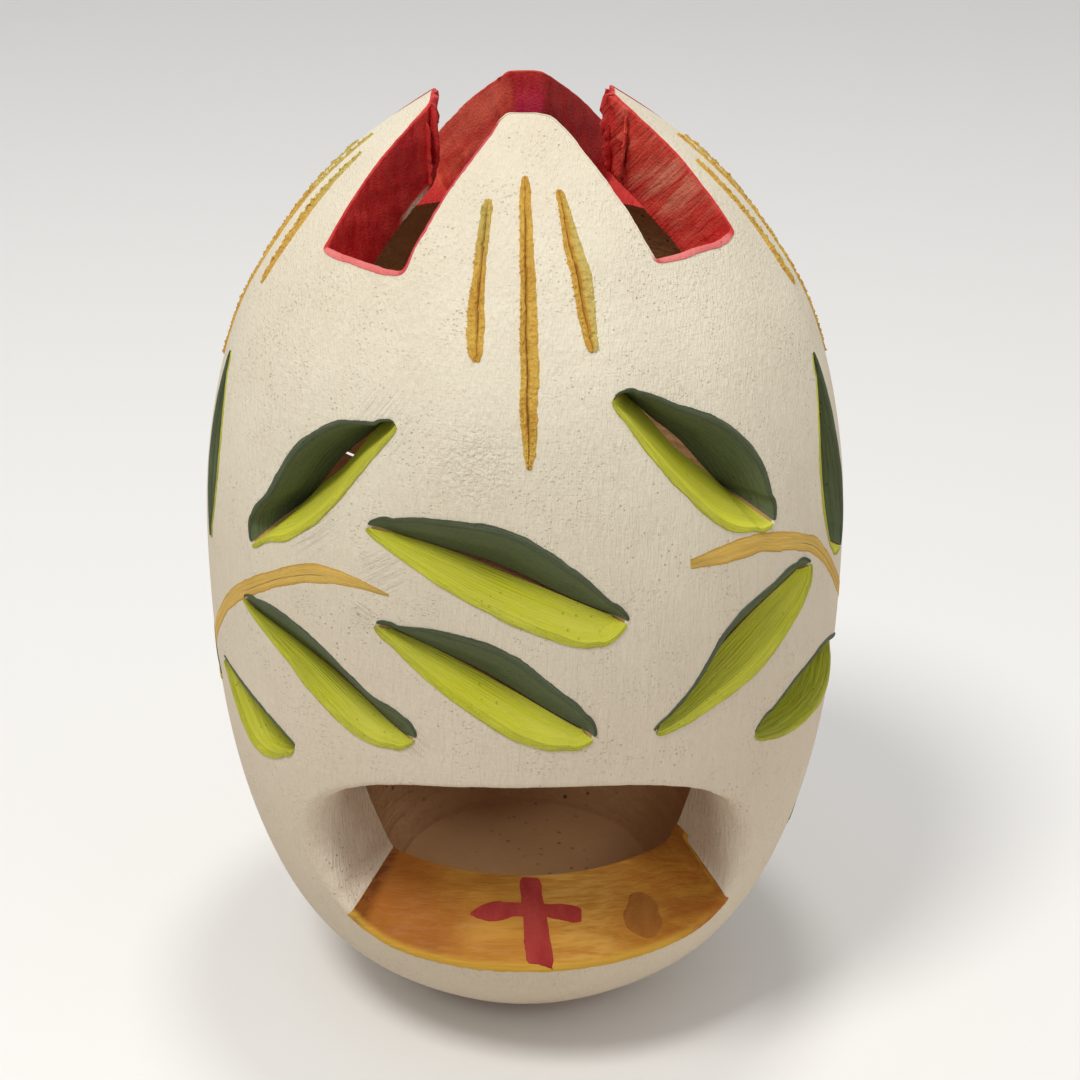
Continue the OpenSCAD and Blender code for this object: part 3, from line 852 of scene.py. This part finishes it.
# The red paint of the crown: acrylic brushed over every face that the four cuts and the square hole left.
# Its outer border wanders on the white. The knife left burrs and folded flaps of clay at the tips of the side
# petals, and the paint went over them.
FEATHER = 0.03


def film(name, sheet, lift, sink=0.12, closed=False, blunt=False):
    """A thin coat over a sheet of points, rows along it and columns across, thinned out to its borders.
    A blunt one is thinned out on its last column only."""
    sheet = np.asarray(sheet, float)
    along = np.roll(sheet, -1, 0) - np.roll(sheet, 1, 0) if closed else np.gradient(sheet, axis=0)
    up = np.cross(np.gradient(sheet, axis=1), along)
    up /= np.maximum(np.linalg.norm(up, axis=2), 1e-9)[:, :, None]
    thick = np.array(np.broadcast_to(lift, sheet.shape[:2]))
    thick[:, -1] = -FEATHER
    if not blunt:
        thick[:, 0] = -FEATHER
        thick[[0, -1]] = -FEATHER
    top = sheet + up * thick[:, :, None]
    under = sheet - up * sink
    rings = np.concatenate([top, under[:, ::-1], top[:, :1]], axis=1)
    rings[:, :, 2] = np.minimum(rings[:, :, 2], HEIGHT - FEATHER)
    far = np.hypot(rings[:, :, 0], rings[:, :, 1])
    rings[:, :, :2] *= np.minimum(1, (WIDEST - FEATHER) / far)[:, :, None]
    return bend(name, np.concatenate([rings, rings[:1]]) if closed else rings)


def lapped(row, aside, lap):
    """A row across a cut face, run on over the white by lap millimetres."""
    return [*row, *[onto_wall(row[-1] + w * lap * aside) for w in (0.4, 0.75, 1)]]


beyond = 0.04 + 0.3 * eased(on_floor, 20)
beyond[FLOOR_ROWS:ROWS // 2] += 0.05
beyond = (eased(beyond, 12) + [ragged(2.2, 0.11 * k, 0.25) for k in range(4 * ROWS)]).clip(0.02, 1.2)
crown_sheet = [lapped(row, t, lap) for row, t, lap in zip(crown_band, crown_aside, beyond)]
crown_coat = np.full((4 * ROWS, len(crown_sheet[0])), 0.14)
for burr_row, spread, size in ((ROWS + 102, 12, 0.9), (ROWS + 42, 5, 0.4), (3 * ROWS + 122, 8, 0.9),
                               (3 * ROWS + 108, 6, 0.6), (2 * ROWS + 132, 7, 0.5), (2 * ROWS + 172, 10, 0.4)):
    for k in range(burr_row - 3 * spread, burr_row + 3 * spread):
        for c in range(1, 18):
            near = math.exp(-((k - burr_row) / spread) ** 2) * min(1, (18 - c) / 4, (c + 1) / 3)
            fold = abs(noise.noise((0.17 * k + burr_row, 0.16 * c, 0.02 * c * k / ROWS)))
            crown_coat[k % (4 * ROWS), c] += size * near * max(0, 1 - 2.8 * fold) ** 1.3


def flap(row, first, last, reach, curl):
    """A strip of clay pushed up by the knife along one row of the cut face, curling over. A reach below 0
    leans it back."""
    sheet = []
    for step in range(19):
        low, part = divmod(first + (last - first) * step / 18, 1)
        here, after = crown_band[row][int(low)], crown_band[row][int(low) + 1]
        along = unit(crown_band[row + 2][int(low)] - crown_band[row - 2][int(low)])
        out = unit(np.cross(after - here, along))
        length = abs(reach) * (0.45 + 0.55 * math.sin(math.pi * (step + 1) / 20))
        length *= 1 + ragged(row, 0.5 * step, 0.7)
        lean = math.copysign(length, reach)
        sheet.append([here * (1 - part) + after * part + lean * math.sin(curl * s) * along
                      + (length * (1 - math.cos(curl * s)) + 0.5 * length * s - 0.1) * out
                      for s in np.linspace(0, 1, 8)])
    piece = film("flap", sheet if reach < 0 else sheet[::-1], 0.16, 0.22)
    for corner in piece.data.uv_layers.active.data:
        corner.uv = (0.4 * corner.uv[0], row / (4 * ROWS))
    return piece


crown_paint = joined([film("crown_paint", crown_sheet, crown_coat, closed=True, blunt=True),
                      flap(ROWS + 99, 1.5, 13, -1.6, 1.5), flap(ROWS + 104, 3, 17, 1.5, 1.2),
                      flap(ROWS + 108, 0.5, 10, -1.1, 1.6), flap(ROWS + 113, 5, 17, 1.4, 1.1),
                      flap(3 * ROWS + 127, 4, 16, 1.3, 1.3), flap(3 * ROWS + 131, 1, 12, 1.0, 1.5)])

# Each knife-cut face took the brush differently, and some faces are made lighter or darker with painted
# light and shade. Round is how far round the edge a place lies, from 0 to 1.
tree, place, along = matt("crown_red_acrylic", crown_paint)
over, round_edge = parts(along)[:2]
ways = use(streaks, place, Scale=(420.0, 420.0, 110.0), Seed=5.0)
slants = use(streaks, slanted(place, 0.9), Scale=(60.0, 60.0, 620.0), Seed=1.0)
dabs = use(mottle, place, Scale=130.0, Seed=5.0)
specks = use(pits, place, Scale=520.0, Size=0.16, Patches=90.0)
turn = plus(round_edge, times(plus(dabs["Tone"], -0.5), 0.006))
# the right petal's face: brush streaks, with painted light laid on it below
streaked_lit_face = between(turn, 0.30, 0.387, 0.006)
lit_worn_face_middle = times(between(over, 0.05, 0.31, 0.06), between(turn, 0.312, 0.372, 0.014))
lips = larger(between(turn, 0.002, 0.043, 0.003), between(turn, 0.252, 0.293, 0.003))
colour = layered(
    mixed(ways["Streaks"], (194, 34, 42), (214, 60, 56)),
    (dabs["Tone"], 0.4, (176, 30, 38)),
    # the back petal: painted shade on its shaded side, painted light on its lit side, its tip and a worn
    # corner
    (between(turn, 0.546, 0.634, 0.004), 0.85, mixed(ways["Hairs"], (158, 20, 26), (178, 34, 36))),
    (between(turn, 0.66, 0.752, 0.003), 0.8, mixed(slants["Streaks"], (206, 62, 50), (226, 108, 82))),
    (between(turn, 0.635, 0.658, 0.002), 0.85, mixed(ramp(over, 0.1, 0.3), (204, 46, 92), (194, 42, 48))),
    (times(between(turn, 0.62, 0.68, 0.01), ramp(over, 0.30, 0.37)), 0.7, (206, 110, 70)),
    # the right petal, brushed thin on the slant and worn pale, with painted light over its lit face
    (streaked_lit_face, 0.6, (214, 60, 52)),
    (lit_worn_face_middle, 0.9,
     mixed(ramp(slants["Streaks"], 0.25, 1.0, 0.0, 0.75), (214, 74, 60), (236, 158, 130))),
    # the notch floors and the front petal's left edge, pink where the paint ran thin
    (lips, ramp(dabs["Tone"], 0, 1, 0.6, 0.9), (234, 132, 130)),
    (times(between(turn, 0.045, 0.12, 0.004), ramp(over, 0.39, 0.43)), 1.0, (216, 92, 112)),
    (ways["Hairs"], 0.14, (218, 110, 92)),
    (specks["Pits"], 0.4, (96, 26, 24)),
    # white left bare on the front petal's right edge, and clay on the left petal
    (times(between(turn, 0.128, 0.246, 0.006), ramp(over, 0.31, 0.36)), 1.0, (236, 228, 208)),
    (times(between(turn, 0.918, 0.95, 0.006), ramp(over, 0.03, 0.012)), 1.0, (218, 202, 178)))
surface(colour, (ways["Hairs"], 0.42, 0.7), 0.00016,
        (ways["Streaks"], 0.6), (dabs["Grain"], 0.4), (times(slants["Hairs"], streaked_lit_face), 0.9))
finish(crown_paint, "red_paint", "crown_red_paint")

# The leaf paint: acrylic, dark green on the upper face of every slot and lime on the lower one, lapping its
# rim. Each coat is one film from the slit to an uneven border on the white, paler along the rim, and darker
# towards the slit as painted shade.


def leaf_coat(name, leaf, side):
    sheet = []
    for t in crowded(110):
        points, outwards, _ = slot_path(leaf, t, side)
        lap = (0.2 + ragged(leaf[0][0] + side * 31, 11 * t, 0.4)) * (0.4 + 0.6 * math.sin(math.pi * t))
        sheet.append(lapped(points[1:], outwards, max(lap, 0.03)))
    return film(name, sheet if side < 0 else sheet[::-1], PAINT, blunt=True)


leaf_coats = {}
for group, leaves in LEAVES.items():
    for side, green in ((1, "dark"), (-1, "lime")):
        leaf_films = [leaf_coat(f"{group}_{green}_green", leaf, side) for leaf in leaves]
        leaf_coats[group, green] = joined(leaf_films)

for green, body, light, deep, rim in (
        ("dark", (92, 104, 78), (114, 124, 98), (60, 68, 46), (104, 114, 90)),
        ("lime", (208, 210, 50), (224, 222, 96), (172, 174, 40), (206, 204, 92))):
    tree, place, along = matt(f"{green}_leaf_acrylic", *[leaf_coats[group, green] for group in LEAVES])
    over = parts(along)[0]
    marks = use(streaks, along, Scale=(24.0, 3.2, 1.0), Seed=3.0)
    drift = use(mottle, place, Scale=95.0, Seed=2.0)
    specks = use(pits, place, Scale=700.0, Size=0.16, Patches=110.0)
    colour = layered(mixed(times(plus(marks["Streaks"], drift["Tone"]), 0.4), body, light),
                     (drift["Tone"], 0.28, deep),
                     # painted shade: darker deep in the cut, towards the slit
                     (ramp(over, 0.14, 0.02), 0.4, deep),
                     (ramp(over, 0.33, 0.42), ramp(marks["Hairs"], 0.3, 0.8), rim),
                     (specks["Pits"], 0.4, deep))
    surface(colour, (drift["Grain"], 0.5, 0.72), 0.00012,
            (marks["Streaks"], 0.6), (marks["Hairs"], 0.5), (specks["Pits"], -1.0))
for (group, green), coat in leaf_coats.items():
    finish(coat, f"{green}_green_paint", f"{group}_leaves_{green}")

# The ochre of the veins: thick acrylic run into every groove and dragged over its lips in soft lumps. It is
# dark in the groove and yellow where it thins out on the white. Its left border is fringed where the brush
# dragged against the burr of the cut.
vein_coats = {}
for group, petal in PETALS.items():
    vein_films = []
    for vein in VEINS:
        sheet, lumps = [], []
        reach_left, reach_right = ([[q / 6, w] for q, w in enumerate(reaches)] for reaches in vein[4:])
        steps = int((vein[2] - vein[3]) * 8)
        for k in range(steps + 1):
            t = k / steps
            seed, z, r, mm, taper, azimuth = vein_place(vein, petal, t)
            half = GROOVE_HALF * taper
            rounded = min(1, (0.3 + 16 * t) ** 0.5, (0.2 + 14 * (1 - t)) ** 0.5)
            fringe = 0.45 * max(0, noise.noise((seed, 0.9 * k, 2))) * taper
            left = curve(reach_left, t) * rounded + ragged(seed + 2, 0.13 * k, 0.16) + fringe
            right = curve(reach_right, t) * rounded + ragged(seed + 9, 0.11 * k, 0.22)
            left, right = (max(0.08, width - half) for width in (left, right))
            sheet.append([*[on_wall(r, azimuth - (half + w * left) * mm, z) for w in (1, 0.75, 0.45, 0.2)],
                          *groove_path(vein, petal, t),
                          *[on_wall(r, azimuth + (half + w * right) * mm, z) for w in (0.2, 0.45, 0.75, 1)]])
            lumps.append([0.08 + 0.5 * max(0, noise.noise((seed + 0.9 * c, 0.3 * k, c * 0.5)) + 0.1)
                          * (0.15 if 5 <= c <= 10 else 1) for c in range(len(sheet[-1]))])
        vein_films.append(film(f"{group}_ochre_lines", sheet[::-1], np.array(lumps[::-1]), 0.1))
    vein_coats[group] = joined(vein_films)

tree, place, along = matt("vein_ochre_acrylic", *vein_coats.values())
to_right, _, up = parts(place)
over = parts(along)[0]
marks = use(streaks, along, Scale=(22.0, 40.0, 1.0), Seed=1.0)
drift = use(mottle, place, Scale=300.0, Seed=6.0)
colour = layered(mixed(drift["Tone"], (252, 202, 86), (234, 172, 58)),
                 (marks["Streaks"], 0.45, (236, 204, 104)),
                 (times(ramp(to_right, 0.003, 0.0075), ramp(over, 0.33, 0.40)), 0.75, (236, 216, 124)),
                 (times(ramp(up, 0.131, 0.137), ramp(to_right, -0.003, -0.006)), 0.6, (218, 208, 120)),
                 (between(over, 0.19, 0.255, 0.02), 0.8, (128, 78, 26)))
surface(colour, (drift["Grain"], 0.35, 0.6), 0.0003, (drift["Tone"], 1.0), (drift["Grain"], 0.5), sheen=0.4)
for group, coat in vein_coats.items():
    finish(coat, "ochre_paint", f"{group}_vein_paint")

# The stems: four strokes of thin ochre acrylic under the upper leaves, round to the sides, each drawn in one
# go of the brush. The white shows through them. Knots along them are azimuth and height.
STROKES = {"left": [[22.5, 88.6], [30, 89.5], [38, 88.8], [45, 86.3], [60, 78.5], [74, 67.5], [84, 59]],
           "right": [[28, 92.3], [36, 92.4], [44, 91.9], [52, 89.8], [60, 86.4], [74, 75.5], [88, 67]]}
STROKE_HALF = 1.6
STROKE_START = {"left": 0.12, "right": 0.5}
strokes = {}
for label, shape, hand, face in (("front_left", "left", -1, 0), ("front_right", "right", 1, 0),
                                 ("back_left", "right", 1, 180), ("back_right", "left", -1, 180)):
    knots = STROKES[shape]
    sheet = []
    for k in range(221):
        t = k / 220
        azimuth = knots[0][0] + t * (knots[-1][0] - knots[0][0])
        z = curve(knots, azimuth)
        half = STROKE_HALF * min(1, STROKE_START[shape] + 4 * t, 0.3 + 5 * (1 - t))
        top, bottom = (half * (1 + ragged(face + hand + seed, 14 * t, 0.3)) for seed in (0, 20))
        sheet.append([on_wall(r_out(z + v), face + hand * azimuth, z + v)
                      for v in np.linspace(-bottom, top, 9)])
    strokes[label] = film(f"{label}_brush_stroke", sheet if hand < 0 else sheet[::-1], 0.07, 0.1)

tree, place, along = matt("thin_ochre_wash", *strokes.values())
over, run = parts(along)[:2]
marks = use(streaks, along, Scale=(34.0, 3.0, 1.0), Seed=8.0)
drift = use(mottle, place, Scale=90.0, Seed=8.0)
nick = times(between(plus(over, times(drift["Tone"], 0.03)), 0.2, 0.215, 0.008),
             between(run, 0.2, 0.55, 0.02))
colour = layered(mixed(marks["Streaks"], (246, 198, 88), (250, 216, 124)),
                 (drift["Tone"], 0.35, (220, 172, 80)),
                 (larger(ramp(over, 0.07, 0.02), ramp(over, 0.37, 0.42)), 0.6, (194, 146, 62)),
                 (nick, 0.7, (146, 100, 40)))
surface(colour, (marks["Hairs"], 0.5, 0.7), 0.00006, (marks["Hairs"], 1.0), (nick, -2.0))
for label, coat in strokes.items():
    finish(coat, "ochre_paint", f"{label}_stem")

# The sill's amber wash: thinned acrylic over its whole face and lip, and up the inner corner on the right.
# It is brown at both ends, and thin and golden over the middle and the lip.
sill = [k for k in range(len(window_rows)) if window_rows[k, 1] < (28.3 if window_rows[k, 0] < 0 else 31.5)]
sheet = []
for k in sill:
    azimuth, z = window_rows[k, :2]
    painted = 1.0 if azimuth < 0 else min(1.0, max(0.16, 1 - (z - 27.7) / 3.2))
    whole = np.array(lapped(window_band[k], window_aside[k], max(0.25 + ragged(5.1, 0.35 * k, 0.5), 0.03)))
    at = np.linspace(0, painted * (len(whole) - 1), len(whole))
    sheet.append(np.stack([np.interp(at, range(len(whole)), whole[:, c]) for c in range(3)], 1))
sill_wash = film("sill_wash", sheet, 0.1, blunt=True)

tree, place, along = matt("amber_wash", sill_wash)
to_right, _, up = parts(place)
over, run = parts(along)[:2]
marks = use(streaks, place, Scale=(70.0, 520.0, 620.0), Seed=5.0)
drift = use(mottle, place, Scale=60.0, Seed=4.0)
wander = plus(to_right, times(plus(drift["Tone"], -0.5), 0.008))
ends = larger(ramp(run, 0.11, 0.03), ramp(run, 0.84, 0.96, 0.0, 0.35))
lip = times(ramp(over, 0.27, 0.36), ramp(worked("ABSOLUTE", wander), 0.032, 0.026))
colour = layered(mixed(marks["Streaks"], (188, 124, 40), (208, 150, 60)),
                 (drift["Tone"], 0.4, (168, 100, 32)),
                 (between(wander, 0.0, 0.016, 0.004), times(marks["Hairs"], 0.5), (226, 178, 92)),
                 (ramp(wander, -0.008, -0.018), 0.8, (162, 92, 28)),
                 (ramp(wander, -0.024, -0.030), 0.7, (118, 58, 16)),
                 (ramp(wander, 0.020, 0.029), 0.85, mixed(marks["Streaks"], (166, 96, 28), (190, 130, 42))),
                 (ends, ramp(marks["Hairs"], 0, 1, 0.6, 0.95), (110, 56, 16)),
                 (times(ramp(up, 0.0305, 0.0335), ramp(to_right, 0.014, 0.022)), 0.5, (122, 62, 18)),
                 (lip, 0.85, (222, 176, 66)))
surface(colour, (marks["Hairs"], 0.5, 0.7), 0.00006, (marks["Streaks"], 1.0), (marks["Hairs"], 1.0))
finish(sill_wash, "amber_paint", "sill_paint")

# The red cross and the brown dab: thick paint put on the sill over the dry wash, two strokes and one touch.
# x is millimetres right of the middle, and r is millimetres in front of the axis.
ARM_R = 34.7
ARM = [[0, 0.08], [0.08, 0.75], [0.22, 1.25], [0.42, 0.8], [0.62, 0.8], [0.85, 1.1], [0.96, 1.0], [1, 0.7]]
DAB_X, DAB_R = 18.4, 32.7
sill_lines = []
for k in sorted(sill, key=lambda k: window_rows[k, 0]):
    row = window_band[k]
    far = np.hypot(row[:, 0], row[:, 1])
    rising = [0] + [j for j in range(1, len(row)) if far[j] > far[:j].max() + 0.01]
    if window_rows[k, 1] < 27:
        sill_lines.append((math.degrees(math.atan2(row[6, 0], -row[6, 1])), far[rising], row[rising, 2]))


def on_sill(x, r):
    """A point of the sill's face."""
    azimuths, fars, risings = zip(*sill_lines)
    here = [np.interp(math.hypot(x, r), far, z) for far, z in zip(fars, risings)]
    return np.array([x, -r, np.interp(math.degrees(math.atan2(x, r)), azimuths, here)])


def dab(name, rows, lift):
    """A patch of paint on the sill. Each row is its left and right end as [x, r] points."""
    sheet = [[on_sill(*(np.array(left) * (1 - w) + np.array(right) * w)) for w in np.linspace(0, 1, 15)]
             for left, right in rows[::-1]]
    return film(name, sheet, lift, 0.35)


BAR_FROM, BAR_TO = (sill_lines[len(sill_lines) // 2][1][j] for j in (0, -1))
bar = []
for k in range(61):
    t = k / 60
    r = BAR_FROM + 0.15 + (BAR_TO - BAR_FROM - 0.2) * t
    x = 0.7 + 1.7 * t
    half = (1.65 + 0.75 * t) * min(1, 0.75 + 0.1 * k, 0.75 + 0.1 * (60 - k))
    bar.append([[x - half + ragged(3.3, 0.1 * k, 0.4), r], [x + half + ragged(6.3, 0.1 * k, 0.4), r]])
arms = []
for k in range(91):
    x = -8.5 + 17.3 * k / 90
    half = curve(ARM, k / 90)
    near, far = ARM_R - half + ragged(12.3, 0.12 * k, 0.2), ARM_R + half + ragged(9.3, 0.12 * k, 0.2)
    arms.append([[x, far], [x, near]])
touch = []
for k in range(33):
    a = math.pi * k / 32
    half = 2.95 * math.sin(a) ** 0.9 * (1 + ragged(15.3, 2 * a, 0.2)) + 0.05
    r = DAB_R - 2.75 * math.cos(a)
    touch.append([[DAB_X - half - 0.9 * max(0, math.sin(2 * a - math.pi)), r], [DAB_X + half, r]])
cross_mark = dab("cross_mark", bar, 0.2)
cross_arms = dab("cross_arms", arms, 0.22)
cut(cross_mark, cross_arms, operation="UNION")
drop(cross_arms)
brown_dab = dab("brown_dab", touch, 0.2)

for piece, slot_name, node, body, light in (
        (cross_mark, "cross_red_paint", "sill_cross", (164, 44, 44), (182, 66, 58)),
        (brown_dab, "brown_paint", "sill_daub", (158, 96, 34), (172, 110, 42))):
    tree, place, along = matt(slot_name, piece)
    marks = use(streaks, place, Scale=(300.0, 90.0, 160.0), Seed=2.0)
    drift = use(mottle, place, Scale=240.0, Seed=7.0)
    surface(mixed(marks["Streaks"], body, light), (drift["Grain"], 0.45, 0.7), 0.00006,
            (marks["Streaks"], 1.0), (drift["Grain"], 1.0))
    finish(piece, slot_name, node)
